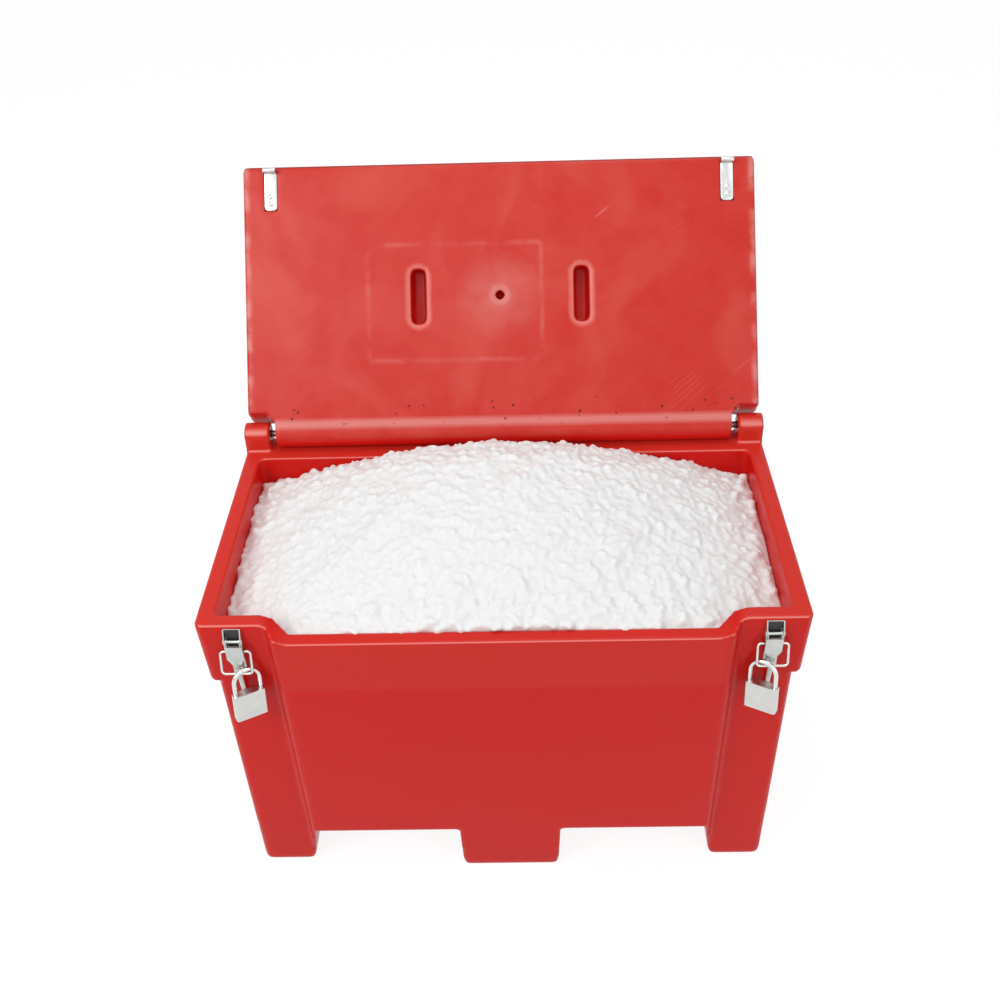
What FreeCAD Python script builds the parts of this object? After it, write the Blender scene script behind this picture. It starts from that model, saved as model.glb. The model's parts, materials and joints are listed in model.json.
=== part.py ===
import FreeCAD, Part
import math
import os

os.makedirs("parts", exist_ok=True)

# Grit salt bin: double-skinned polyethylene tub and lid, steel hinge rod, two toggle latches with
# padlocks. Millimetres, +Z up, front towards -Y. The origin is on the floor under the middle of the
# rim. The lid is modelled open, leaning back on its heel, as the bin is filled.

# Tub, outside
RIM_WIDTH = 960.0
RIM_DEPTH = 490.0
RIM_HEIGHT = 635.0
FRONT_DRAFT = 0.0323
SIDE_DRAFT = 0.003
BAND_HEIGHT = 128.0
BAND_DRAFT = 0.037
BAND_OVERHANG = 13.0
CORNER_RADIUS = 12.0
EDGE_RADIUS = 5.0

# Forward panel in the front wall, with its dipped rim
LATCH_FROM_SIDE = 60.0
PANEL_FROM_LATCH = 64.0
DIP_INSET = 21.0
PANEL_FORWARD = 24.0
PANEL_SIDE_RUN = 13.0
PANEL_DRAFT = 0.045
PANEL_RADIUS = 6.0
DIP = 19.0
RAMP_RUN = 43.0

# Tub, inside
RIM_SIDE = 28.5
RIM_FRONT = 24.0
RIM_REAR = 65.0
FLOOR_THICKNESS = 30.0
CAVITY_DRAFT = 0.045
CAVITY_RADIUS = 12.0
TUB_SKIN = 6.0

# Skids and fork channels
FORK_HEIGHT = 112.0
CENTRE_SKID_WIDTH = 175.0
CENTRE_SKID_DRAFT = 0.035
CORNER_SKID_WIDTH = 94.0
CORNER_SKID_DRAFT = 0.14

# Hinge
AXIS_ABOVE_RIM = 26.0
EAR_WIDTH = 46.0
EAR_RADIUS = 21.5
ROD_DIAMETER = 12.0
ROD_CLEARANCE = 0.05
CAP_RECESS = 5.0
CAP_DIAMETER = 24.0
CAP_THICKNESS = 2.5
CAP_LENGTH = 4.5
CAP_CLEARANCE = 0.5

# Lid
LID_SIDE_INSET = 8.0
LID_OVERHANG = 25.5
LID_THICKNESS = 57.0
LID_SEAT_GAP = 0.5
LID_CORNER_RADIUS = 8.0
LID_TOP_RADIUS = 14.0
LID_EDGE_RADIUS = 6.0
LID_SKIN = 6.0
LEAN_BACK = 34.4
HEEL_GAP = 0.3
KNUCKLE_END_GAP = 13.0
NOTCH_SIDE_GAP = 3.0
NOTCH_LENGTH = 39.0
NOTCH_RUN = 24.0
SLOT_WIDTH = 27.0
SLOT_LENGTH = 102.0
SLOT_SPACING = 301.0
SLOT_FROM_EDGE = 246.0
SLOT_ROUNDING = 0.45
VENT_DIAMETER = 17.0

# Toggle latches
BASE_WIDTH = 28.0
BASE_THICKNESS = 2.0
BASE_TOP_DROP = 6.0
BASE_CHANNEL = 39.0
BASE_FLANGE = 11.0
BASE_FLANGE_CHAMFER = 4.4
BASE_TONGUE = 66.0
BASE_TONGUE_WIDTH = 22.0
PIVOT_DROP = 28.0
PIVOT_OUT = 7.0
PIVOT_DIAMETER = 5.0
PIVOT_CLEARANCE = 0.05
PIVOT_HEAD = 8.0
PIVOT_HEAD_HEIGHT = 1.2
LEVER_THICKNESS = 1.6
LEVER_CHEEK_GAP = 0.6
LEVER_BASE_GAP = 0.3
LEVER_FACE_OUT = 13.2
LEVER_SHIELD_WIDTH = 27.0
LEVER_SHIELD_START = 8.0
LEVER_SHIELD_LENGTH = 27.0
LEVER_NECK_WIDTH = 9.0
LEVER_TAPER_LENGTH = 16.0
LEVER_TAIL_LENGTH = 82.0
LEVER_TAIL_SET_BACK = 6.0
LEVER_ROUNDING = 0.7
LEVER_OPENS = 112.0
BAIL_STROKE = 22.0
BAIL_WIRE = 4.2
BAIL_LENGTH = 41.0
BAIL_WIDTH = 48.0
BAIL_CORNER = 6.0
BAIL_SHOULDER = 6.0
BAIL_REST_GAP = 3.0
BAIL_SWING = 150.0
BUFFER_WIDTH = 18.4
BUFFER_THICKNESS = 1.5
BASE_RIVETS = (0.25, 0.75)
RIVET_DIAMETER = 5.0
RIVET_HEAD = 9.5
RIVET_HEAD_HEIGHT = 1.8
RIVET_DEPTH = 5.0

# Strike plates under the lid
STRIKE_WIDTH = 22.6
STRIKE_THICKNESS = 2.0
STRIKE_FROM_EDGE = 9.0
STRIKE_LENGTH = 77.0
STRIKE_END_RADIUS = 7.0
STRIKE_DROP = 14.5
STRIKE_HOOK_RADIUS = 2.7
STRIKE_LIP = 6.0
STRIKE_RIVETS = (0.16, 0.33)
POCKET_CLEARANCE = 0.2

# Padlocks
LOCK_WIDTH = 52.0
LOCK_HEIGHT = 46.0
LOCK_THICKNESS = 18.0
LOCK_CORNER = 4.0
SHACKLE_DIAMETER = 7.5
SHACKLE_SPACING = 42.0
SHACKLE_RISE = 41.0
SHACKLE_ENGAGED = 9.0
SHACKLE_HOLE_CLEARANCE = 0.05
SHACKLE_TRAVEL = 10.0
LONG_LEG = 30.0
LOCK_OFFSET = 13.0
LOCK_SET_BACK = 0.8
LOCK_TILT = 13.0
PADLOCK_SWING = 20.0
LOCK_YAW = 32.0
CROWN_GAP = 1.4
PLUG_DIAMETER = 13.0
PLUG_LENGTH = 22.0
PLUG_CLEARANCE = 0.05
KEYWAY_WIDTH = 1.8
KEYWAY_HEIGHT = 7.5
KEYWAY_DEPTH = 12.0

# Salt load
SALT_WALL_GAP = 0.4
SALT_SIDE_DROP = 52.0
SALT_FRONT_DROP = 26.0
SALT_CREST = 82.0
SALT_CREST_BACK = 95.0
SALT_OVER_REAR = 12.0
SALT_RISE_BOW = 0.88
SALT_FALL_BOW = 0.64
SALT_LUMP_PITCH = 57.0
SALT_LUMP = 4.5
SALT_LUMP_WAYS = ((0.37, 0.61), (0.53, -0.29))


def vec(x, y, z):
    return FreeCAD.Vector(x, y, z)


def box(x0, x1, y0, y1, z0, z1):
    return Part.makeBox(x1 - x0, y1 - y0, z1 - z0, vec(x0, y0, z0))


def rounded_rectangle(x0, x1, y0, y1, z, r):
    """Wire of a rectangle with round corners, flat at height z."""
    corners = [(x1 - r, y0 + r, -90), (x1 - r, y1 - r, 0), (x0 + r, y1 - r, 90), (x0 + r, y0 + r, 180)]
    edges = []
    ends = []
    for cx, cy, start in corners:
        points = []
        for angle in (start, start + 45, start + 90):
            a = math.radians(angle)
            points.append(vec(cx + r * math.cos(a), cy + r * math.sin(a), z))
        edges.append(Part.Arc(*points).toShape())
        ends.append((points[0], points[2]))
    for i in range(4):
        edges.append(Part.LineSegment(ends[i][1], ends[(i + 1) % 4][0]).toShape())
    return Part.Wire(Part.__sortEdges__(edges))


def tapered_block(low, high, z_low, z_high, radius):
    """Solid between two round-cornered rectangles, each given as x0, x1, y0, y1."""
    wires = [rounded_rectangle(*low, z_low, radius), rounded_rectangle(*high, z_high, radius)]
    return Part.makeLoft(wires, True, True)


def polygon(points):
    return Part.makePolygon(points + [points[0]])


def prism_along_y(points_xz, y0, y1):
    face = Part.Face(polygon([vec(x, y0, z) for x, z in points_xz]))
    return face.extrude(vec(0, y1 - y0, 0))


def prism_along_x(points_yz, x0, x1):
    face = Part.Face(polygon([vec(x0, y, z) for y, z in points_yz]))
    return face.extrude(vec(x1 - x0, 0, 0))


def rod_along_x(x0, x1, y, z, diameter):
    return Part.makeCylinder(diameter / 2, x1 - x0, vec(x0, y, z), vec(1, 0, 0))


def fillet(shape, radius, chosen):
    edges = [edge for edge in shape.Edges if chosen(edge)]
    return shape.makeFillet(radius, edges)


def mirrored(shape):
    return shape.mirror(vec(0, 0, 0), vec(1, 0, 0))


def save(node, shape):
    solids = shape.Solids
    result = solids[0] if len(solids) == 1 else Part.makeCompound(solids)
    print(node, "solids", len(solids), "valid", result.isValid(), "volume", round(result.Volume / 1000, 2))
    result.exportStep("parts/" + node + ".step")


# Places that several pieces share
LATCH_SPACING = RIM_WIDTH - 2 * LATCH_FROM_SIDE
PANEL_WIDTH = LATCH_SPACING - 2 * PANEL_FROM_LATCH
DIP_WIDTH = PANEL_WIDTH - 2 * DIP_INSET
LID_WIDTH = RIM_WIDTH - 2 * LID_SIDE_INSET
HALF_WIDTH = RIM_WIDTH / 2
FRONT = -RIM_DEPTH / 2
REAR = RIM_DEPTH / 2
BAND_BOTTOM = RIM_HEIGHT - BAND_HEIGHT
AXIS_Y = REAR - EAR_RADIUS
AXIS_Z = RIM_HEIGHT + AXIS_ABOVE_RIM
INNER_FLOOR = FORK_HEIGHT + FLOOR_THICKNESS
DIP_HEIGHT = RIM_HEIGHT - DIP


def tub_outside(inset, bottom):
    """Outer form of the tub: lower body, rim band and forward panel, taken in by inset."""
    def front_at(z):
        return FRONT + FRONT_DRAFT * (RIM_HEIGHT - z) + inset

    def body_at(z):
        half = HALF_WIDTH - BAND_OVERHANG - BAND_DRAFT * BAND_HEIGHT - SIDE_DRAFT * (BAND_BOTTOM - z) - inset
        rear = REAR - BAND_OVERHANG - BAND_DRAFT * BAND_HEIGHT - SIDE_DRAFT * (BAND_BOTTOM - z) - inset
        return (-half, half, front_at(z), rear)

    def band_at(z):
        half = HALF_WIDTH - BAND_DRAFT * (RIM_HEIGHT - z) - inset
        return (-half, half, front_at(z), REAR - BAND_DRAFT * (RIM_HEIGHT - z) - inset)

    def panel_at(z):
        half = PANEL_WIDTH / 2 - SIDE_DRAFT * (DIP_HEIGHT - z) - inset
        y = FRONT - PANEL_FORWARD + PANEL_DRAFT * (DIP_HEIGHT - z) + inset
        back = FRONT + PANEL_FORWARD
        run = PANEL_SIDE_RUN * (back - y) / PANEL_FORWARD
        return [vec(-half, y, z), vec(half, y, z), vec(half + run, back, z), vec(-half - run, back, z)]

    top = RIM_HEIGHT - inset
    band_low = BAND_BOTTOM + inset
    body_top = RIM_HEIGHT - BAND_HEIGHT / 2
    body = tapered_block(body_at(bottom), body_at(body_top), bottom, body_top, CORNER_RADIUS)
    band = tapered_block(band_at(band_low), band_at(top), band_low, top, CORNER_RADIUS)
    panel = Part.makeLoft([polygon(panel_at(bottom)), polygon(panel_at(top))], True, True)
    if inset == 0:
        band = fillet(band, EDGE_RADIUS, lambda e: e.BoundBox.ZMin > top - 1)
        panel = fillet(panel, PANEL_RADIUS, lambda e: e.BoundBox.ZLength > BAND_HEIGHT
                       and e.CenterOfMass.y < FRONT)
    return body.fuse([band, panel]).removeSplitter()


def tub_cavity(grow, bottom, top=RIM_HEIGHT + 1):
    """Inner form of the tub: the main hollow and its forward bay behind the panel, grown by grow."""

    def main_at(z):
        drop = CAVITY_DRAFT * (RIM_HEIGHT - z)
        half = HALF_WIDTH - RIM_SIDE - drop + grow
        return (-half, half, FRONT + RIM_FRONT + drop - grow, REAR - RIM_REAR - drop + grow)

    def bay_at(z):
        drop = CAVITY_DRAFT * (RIM_HEIGHT - z)
        half = DIP_WIDTH / 2 - drop + grow
        y = FRONT - PANEL_FORWARD + RIM_FRONT + drop - grow
        back = FRONT + 3 * RIM_FRONT
        run = 2 * PANEL_SIDE_RUN * (back - y) / PANEL_FORWARD
        return [vec(-half, y, z), vec(half, y, z), vec(half + run, back, z), vec(-half - run, back, z)]

    main = tapered_block(main_at(bottom), main_at(top), bottom, top, CAVITY_RADIUS)
    bay = Part.makeLoft([polygon(bay_at(bottom)), polygon(bay_at(top))], True, True)
    return main.fuse(bay).removeSplitter()


def fork_channel(grow):
    """Trapezoid tunnel between the centre skid and the right corner skid, from front to rear."""
    foot = HALF_WIDTH - BAND_OVERHANG - BAND_DRAFT * BAND_HEIGHT - SIDE_DRAFT * BAND_BOTTOM
    inner = CENTRE_SKID_WIDTH / 2
    outer = foot - CORNER_SKID_WIDTH
    inner_top = inner + CENTRE_SKID_DRAFT * FORK_HEIGHT
    outer_top = outer - CORNER_SKID_DRAFT * FORK_HEIGHT
    points = [(inner - grow, -1 - grow), (outer + grow, -1 - grow),
              (outer_top + grow, FORK_HEIGHT + grow), (inner_top - grow, FORK_HEIGHT + grow)]
    return prism_along_y(points, FRONT - 4 * PANEL_FORWARD, REAR + 4 * PANEL_FORWARD)


def dip_cutter(grow):
    points = [(-DIP_WIDTH / 2, DIP_HEIGHT - grow), (DIP_WIDTH / 2, DIP_HEIGHT - grow),
              (DIP_WIDTH / 2 + RAMP_RUN, RIM_HEIGHT - grow), (DIP_WIDTH / 2 + RAMP_RUN, RIM_HEIGHT + DIP),
              (-DIP_WIDTH / 2 - RAMP_RUN, RIM_HEIGHT + DIP), (-DIP_WIDTH / 2 - RAMP_RUN, RIM_HEIGHT - grow)]
    return prism_along_y(points, FRONT - 4 * PANEL_FORWARD, FRONT + 4 * RIM_FRONT)


def ear():
    """Round-topped hinge lug on the right rear corner of the rim."""
    x0 = HALF_WIDTH - EAR_WIDTH
    round_top = rod_along_x(x0, HALF_WIDTH, AXIS_Y, AXIS_Z, 2 * EAR_RADIUS)
    low = RIM_HEIGHT - 2 * EDGE_RADIUS
    foot = box(x0, HALF_WIDTH, AXIS_Y - EAR_RADIUS, AXIS_Y + EAR_RADIUS, low, AXIS_Z)
    return round_top.fuse(foot).removeSplitter()


def tub_hollows(grow):
    """All that is open in the tub's outer form, grown by grow to find where its closed void ends."""
    channel = fork_channel(grow)
    return [tub_cavity(grow, INNER_FLOOR - grow), channel, mirrored(channel), dip_cutter(grow)]


def make_tub():
    """One double-skinned moulding: outer form less the hollow, channels, dip and the closed void."""
    shape = tub_outside(0, 0).fuse([ear(), mirrored(ear())])
    for tool in tub_hollows(0):
        shape = shape.cut(tool)
    void = tub_outside(TUB_SKIN, TUB_SKIN)
    for tool in tub_hollows(TUB_SKIN):
        void = void.cut(tool)
    rod_hole = rod_along_x(-RIM_WIDTH, RIM_WIDTH, AXIS_Y, AXIS_Z, ROD_DIAMETER)
    shape = shape.cut(rod_hole)
    for side in (-1, 1):
        x0 = side * HALF_WIDTH - CAP_RECESS
        recess = rod_along_x(x0, x0 + 2 * CAP_RECESS, AXIS_Y, AXIS_Z, CAP_DIAMETER + 2 * CAP_CLEARANCE)
        shape = shape.cut(recess)
    for side in (-1, 1):
        for z in base_rivet_places():
            shape = shape.cut(on_face(rivet_shank(0, z, 0), side))
    return shape.cut(void).removeSplitter()


def make_rod():
    half = HALF_WIDTH - CAP_RECESS + CAP_THICKNESS
    return rod_along_x(-half, half, AXIS_Y, AXIS_Z, ROD_DIAMETER)


def make_caps():
    """Push-on caps that hold the rod, sunk in the outer faces of the ears."""
    start = HALF_WIDTH - CAP_RECESS
    cap = rod_along_x(start, start + CAP_LENGTH, AXIS_Y, AXIS_Z, CAP_DIAMETER)
    cap = cap.cut(make_rod())
    return Part.makeCompound([cap, mirrored(cap)])


# The lid is drawn closed, about the hinge axis, and then turned open
LID_UNDER = LID_SEAT_GAP - AXIS_ABOVE_RIM
LID_TOP = LID_UNDER + LID_THICKNESS
LID_FRONT = FRONT - LID_OVERHANG - AXIS_Y
LID_OPENING = 90 + LEAN_BACK
KNUCKLE_RADIUS = AXIS_ABOVE_RIM - HEEL_GAP


def opened(shape):
    result = shape.copy()
    result.rotate(vec(0, 0, 0), vec(1, 0, 0), -LID_OPENING)
    result.translate(vec(0, AXIS_Y, AXIS_Z))
    return result


def lid_profile():
    """Side outline of the lid: flat underside, round knuckle and the heel that meets it tangentially."""
    r = KNUCKLE_RADIUS
    lean = math.radians(LEAN_BACK)
    start = vec(0, -math.sqrt(r ** 2 - LID_UNDER ** 2), LID_UNDER)
    bend = vec(0, r * math.cos(lean / 2 - math.pi / 4), r * math.sin(lean / 2 - math.pi / 4))
    heel_low = vec(0, r * math.cos(lean), r * math.sin(lean))
    heel_top = vec(0, (r - LID_TOP * math.sin(lean)) / math.cos(lean), LID_TOP)
    front_top = vec(0, LID_FRONT, LID_TOP)
    front_low = vec(0, LID_FRONT, LID_UNDER)
    edges = [Part.LineSegment(front_top, front_low), Part.LineSegment(front_low, start),
             Part.Arc(start, bend, heel_low), Part.LineSegment(heel_low, heel_top),
             Part.LineSegment(heel_top, front_top)]
    return Part.Wire([edge.toShape() for edge in edges])


def underside_slot(side, grow):
    """Moulded kiss-off recess in the underside, rounded at its ends, left or right of the middle."""
    x = side * SLOT_SPACING / 2
    y = LID_FRONT + SLOT_FROM_EDGE
    half_width = SLOT_WIDTH / 2 + grow
    half_length = SLOT_LENGTH / 2 + grow
    top = LID_TOP - LID_SKIN * 2 + grow * 2
    r = min(half_width, half_length) * SLOT_ROUNDING
    outline = rounded_rectangle(x - half_width, x + half_width, y - half_length, y + half_length,
                                LID_UNDER - 1, r)
    return Part.Face(outline).extrude(vec(0, 0, top - LID_UNDER + 1))


def strike_seat(side, grow):
    """Shallow pocket in the underside for a strike plate."""
    half = STRIKE_WIDTH / 2 + POCKET_CLEARANCE + grow
    x = side * LATCH_SPACING / 2
    y0 = strike_front()
    y1 = strike_rear()
    return box(x - half, x + half, y0 - POCKET_CLEARANCE - grow, y1 + POCKET_CLEARANCE + grow,
               LID_UNDER - 1, LID_UNDER + LID_SEAT_GAP + STRIKE_THICKNESS + grow)


def notch(grow):
    """Clearance for the right ear: its front wall leans over the ear, and the knuckle ends before it."""
    inner = HALF_WIDTH - EAR_WIDTH
    side = inner - NOTCH_SIDE_GAP
    slope = NOTCH_RUN / LID_THICKNESS
    front = -NOTCH_LENGTH - grow * math.hypot(1, slope)
    plate = prism_along_x([(front - slope, LID_UNDER - 1), (front + NOTCH_RUN + slope, LID_TOP + 1),
                           (2 * NOTCH_LENGTH, LID_TOP + 1), (2 * NOTCH_LENGTH, LID_UNDER - 1)],
                          side - grow, HALF_WIDTH)
    knuckle = box(inner - KNUCKLE_END_GAP - grow, side + grow, -KNUCKLE_RADIUS - grow, 2 * NOTCH_LENGTH,
                  LID_UNDER - 1, LID_TOP + 1)
    return plate.fuse(knuckle)


def make_lid():
    """One double-skinned moulding, hollow but for the knuckle, with a vent in the underside."""
    half = LID_WIDTH / 2
    shape = Part.Face(lid_profile()).extrude(vec(2 * half, 0, 0))
    shape.translate(vec(-half, 0, 0))
    shape = fillet(shape, LID_CORNER_RADIUS, lambda e: e.BoundBox.ZLength > LID_THICKNESS - 1
                   and e.CenterOfMass.y < LID_FRONT + 1)
    shape = fillet(shape, LID_TOP_RADIUS, lambda e: e.BoundBox.ZMin > LID_TOP - 0.1
                   and e.CenterOfMass.y < -KNUCKLE_RADIUS)
    shape = fillet(shape, LID_EDGE_RADIUS, lambda e: abs(e.BoundBox.ZMax - LID_UNDER) < 0.1
                   and e.CenterOfMass.y < -KNUCKLE_RADIUS)
    void = box(-half + LID_SKIN, half - LID_SKIN, LID_FRONT + LID_SKIN, -KNUCKLE_RADIUS,
               LID_UNDER + LID_SKIN, LID_TOP - LID_SKIN)
    for side in (-1, 1):
        shape = shape.cut([underside_slot(side, 0), strike_seat(side, 0)])
        void = void.cut([underside_slot(side, LID_SKIN), strike_seat(side, LID_SKIN)])
    shape = shape.cut([notch(0), mirrored(notch(0))])
    void = void.cut([notch(LID_SKIN), mirrored(notch(LID_SKIN))])
    for side in (-1, 1):
        for y in strike_rivet_places():
            hole = Part.makeCylinder(RIVET_DIAMETER / 2, RIVET_DEPTH,
                                     vec(side * LATCH_SPACING / 2, y, LID_UNDER + LID_SEAT_GAP))
            shape = shape.cut(hole)
    vent_place = vec(0, LID_FRONT + SLOT_FROM_EDGE, LID_UNDER - 1)
    vent = Part.makeCylinder(VENT_DIAMETER / 2, 2 * LID_SKIN, vent_place)
    bore = rod_along_x(-RIM_WIDTH, RIM_WIDTH, 0, 0, ROD_DIAMETER + 2 * ROD_CLEARANCE)
    return opened(shape.cut([void, vent, bore]))


# Latches are drawn about the middle of the rim's top edge at their place: X across the latch, Z up
# the drafted corner face and Y into it, so that a point w out of the face has y = -w
DRAFT_ANGLE = math.degrees(math.atan(FRONT_DRAFT))
PIVOT_Z = -PIVOT_DROP
BAIL_Z = PIVOT_Z - BAIL_STROKE
CHEEK_OUTER = BASE_WIDTH / 2 - BASE_THICKNESS - LEVER_CHEEK_GAP
CHEEK_INNER = CHEEK_OUTER - LEVER_THICKNESS
PLATE_IN = LEVER_FACE_OUT - LEVER_THICKNESS
BAR_OUT = LEVER_FACE_OUT + BAIL_REST_GAP + BAIL_WIRE / 2
BAIL_REST = math.asin((BAR_OUT - PIVOT_OUT) / BAIL_LENGTH)
BAR_Z = BAIL_Z - BAIL_LENGTH * math.cos(BAIL_REST)
LATCHED = math.radians(BAIL_SWING)


def on_face(shape, side):
    """Carry a latch piece from its own frame to the left or right corner face."""
    result = shape.copy()
    result.rotate(vec(0, 0, 0), vec(1, 0, 0), DRAFT_ANGLE)
    result.translate(vec(side * LATCH_SPACING / 2, FRONT, RIM_HEIGHT))
    return result


def make_base():
    """Folded steel base: a channel with two flanges for the pin, and a riveted tongue below it."""
    half = BASE_WIDTH / 2
    low = -BASE_TOP_DROP - BASE_CHANNEL
    web = box(-half, half, -BASE_THICKNESS, 0, low, -BASE_TOP_DROP)
    tongue_low = low - BASE_TONGUE
    tongue = box(-BASE_TONGUE_WIDTH / 2, BASE_TONGUE_WIDTH / 2, -BASE_THICKNESS, 0, tongue_low, low)
    tongue = fillet(tongue, BASE_TONGUE_WIDTH / 3, lambda e: e.BoundBox.YLength > BASE_THICKNESS / 2
                    and e.CenterOfMass.z < tongue_low + 1)
    chamfer = BASE_FLANGE_CHAMFER
    side = [(0, low), (-BASE_FLANGE + chamfer, low), (-BASE_FLANGE, low + chamfer),
            (-BASE_FLANGE, PIVOT_Z + PIVOT_DIAMETER), (-BASE_THICKNESS - BUFFER_THICKNESS, -BASE_TOP_DROP),
            (0, -BASE_TOP_DROP)]
    flanges = [prism_along_x(side, half - BASE_THICKNESS, half),
               prism_along_x(side, -half, BASE_THICKNESS - half)]
    pin_hole = rod_along_x(-half - 1, half + 1, -PIVOT_OUT, PIVOT_Z, PIVOT_DIAMETER)
    shape = web.fuse([tongue] + flanges).removeSplitter().cut(pin_hole)
    for rivet_z in base_rivet_places():
        shape = shape.cut(Part.makeCylinder(RIVET_DIAMETER / 2, 2 * BASE_THICKNESS,
                                            vec(0, BASE_THICKNESS / 2, rivet_z), vec(0, -1, 0)))
    return shape


def base_rivet_places():
    low = -BASE_TOP_DROP - BASE_CHANNEL
    return [low - BASE_TONGUE * share for share in BASE_RIVETS]


def rivet_shank(x, z, head_seat):
    length = RIVET_DEPTH + head_seat
    return Part.makeCylinder(RIVET_DIAMETER / 2, length, vec(x, -head_seat, z), vec(0, 1, 0))


def rivet(x, z, head_seat):
    """Domed rivet driven through sheet metal into the moulding along +Y."""
    shank = rivet_shank(x, z, head_seat)
    radius = RIVET_HEAD / 2
    ball_radius = (radius ** 2 + RIVET_HEAD_HEIGHT ** 2) / (2 * RIVET_HEAD_HEIGHT)
    ball = Part.makeSphere(ball_radius, vec(x, ball_radius - RIVET_HEAD_HEIGHT - head_seat, z))
    slab = box(x - radius, x + radius, -head_seat - RIVET_HEAD_HEIGHT, -head_seat, z - radius, z + radius)
    return ball.common(slab).fuse(shank).removeSplitter()


def make_base_rivets():
    return Part.makeCompound([rivet(0, z, BASE_THICKNESS) for z in base_rivet_places()])


def make_buffer():
    """Black rubber pad in the channel, wide at its head and narrow between the lever's cheeks."""
    low = -BASE_TOP_DROP - BASE_CHANNEL + BASE_THICKNESS
    neck = PIVOT_Z + PIVOT_DIAMETER + PIVOT_CLEARANCE + BASE_THICKNESS
    head_half = BASE_WIDTH / 2 - BASE_THICKNESS
    out = -BASE_THICKNESS - BUFFER_THICKNESS
    head = box(-head_half, head_half, out, -BASE_THICKNESS, neck, -BASE_TOP_DROP - 1)
    stem = box(-BUFFER_WIDTH / 2, BUFFER_WIDTH / 2, out, -BASE_THICKNESS, low, neck)
    return head.fuse(stem).removeSplitter()


def make_pin():
    half = BASE_WIDTH / 2
    shank = rod_along_x(-half, half, -PIVOT_OUT, PIVOT_Z, PIVOT_DIAMETER)
    heads = [rod_along_x(half, half + PIVOT_HEAD_HEIGHT, -PIVOT_OUT, PIVOT_Z, PIVOT_HEAD),
             rod_along_x(-half - PIVOT_HEAD_HEIGHT, -half, -PIVOT_OUT, PIVOT_Z, PIVOT_HEAD)]
    return shank.fuse(heads).removeSplitter()


def make_lever():
    """Pressed lever: two cheeks on the pin, a shield-shaped face and a long tail set back at its end."""
    ring = PIVOT_OUT - BASE_THICKNESS - LEVER_BASE_GAP
    ring_bail = BAIL_WIRE / 2 + LEVER_THICKNESS
    web_top = PIVOT_Z - LEVER_SHIELD_START
    rounding = LEVER_ROUNDING
    cheek_points = [(-PIVOT_OUT + ring * rounding, PIVOT_Z),
                    (-PIVOT_OUT + ring_bail * rounding, BAIL_Z - ring_bail),
                    (-PLATE_IN, BAIL_Z - ring_bail * 2), (-PLATE_IN, web_top),
                    (-PIVOT_OUT - ring * rounding, PIVOT_Z + ring * rounding)]
    cheeks = []
    for side in (-1, 1):
        x0 = CHEEK_INNER if side > 0 else -CHEEK_OUTER
        x1 = x0 + LEVER_THICKNESS
        cheek = prism_along_x(cheek_points, x0, x1)
        cheek = cheek.fuse(rod_along_x(x0, x1, -PIVOT_OUT, PIVOT_Z, 2 * ring))
        for z, diameter in ((PIVOT_Z, PIVOT_DIAMETER), (BAIL_Z, BAIL_WIRE)):
            cheek = cheek.cut(rod_along_x(x0 - 1, x1 + 1, -PIVOT_OUT, z, diameter + 2 * PIVOT_CLEARANCE))
        cheeks.append(cheek)
    wide = LEVER_SHIELD_WIDTH / 2
    neck = LEVER_NECK_WIDTH / 2
    z_wide = web_top - LEVER_SHIELD_LENGTH
    z_neck = z_wide - LEVER_TAPER_LENGTH
    z_end = z_neck - LEVER_TAIL_LENGTH
    tip = neck * rounding
    outline = [(-wide, web_top), (wide, web_top), (wide, z_wide), (neck, z_neck), (tip, z_end + tip)]
    mirrored_side = [(-x, z) for x, z in reversed(outline[2:])]
    points = [vec(x, 0, z) for x, z in outline + mirrored_side]
    edges = [Part.LineSegment(points[i], points[i + 1]).toShape() for i in range(4)]
    edges.append(Part.Arc(points[4], vec(0, 0, z_end), points[5]).toShape())
    edges += [Part.LineSegment(points[i], points[i + 1]).toShape() for i in (5, 6)]
    edges.append(Part.LineSegment(points[7], points[0]).toShape())
    blank = Part.Face(Part.Wire(Part.__sortEdges__(edges))).extrude(vec(0, -LEVER_FACE_OUT, 0))
    back = LEVER_TAIL_SET_BACK
    strip = [(-PLATE_IN, web_top), (-LEVER_FACE_OUT, web_top), (-LEVER_FACE_OUT, z_neck),
             (-LEVER_FACE_OUT + back, z_end), (-PLATE_IN + back, z_end), (-PLATE_IN, z_neck)]
    plate = blank.common(prism_along_x(strip, -wide, wide))
    return plate.fuse(cheeks).removeSplitter()


def bail_path():
    """Half of the bail's centre line, from its inward end through the leg to the middle of the bar."""
    leg = BAIL_WIDTH / 2
    r = BAIL_CORNER
    s = BAIL_SHOULDER
    k = math.sqrt(0.5)
    end = CHEEK_INNER - LEVER_THICKNESS
    length = BAIL_LENGTH
    edges = [Part.LineSegment(vec(end, 0, 0), vec(leg - s, 0, 0)),
             Part.Arc(vec(leg - s, 0, 0), vec(leg - s + s * k, 0, -s + s * k), vec(leg, 0, -s)),
             Part.LineSegment(vec(leg, 0, -s), vec(leg, 0, -length + r)),
             Part.Arc(vec(leg, 0, -length + r), vec(leg - r + r * k, 0, -length + r - r * k),
                      vec(leg - r, 0, -length)),
             Part.LineSegment(vec(leg - r, 0, -length), vec(0, 0, -length))]
    return Part.Wire([e.toShape() for e in edges])


def make_bail():
    """Wire bail, its ends turned inwards through the lever's cheeks, lying against the lever."""
    end = vec(CHEEK_INNER - LEVER_THICKNESS, 0, 0)
    section = Part.Wire(Part.makeCircle(BAIL_WIRE / 2, end, vec(1, 0, 0)))
    half = bail_path().makePipeShell([section], True, True)
    shape = half.fuse(mirrored(half)).removeSplitter()
    shape.rotate(vec(0, 0, 0), vec(1, 0, 0), -math.degrees(BAIL_REST))
    shape.translate(vec(0, -PIVOT_OUT, BAIL_Z))
    return shape


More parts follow.
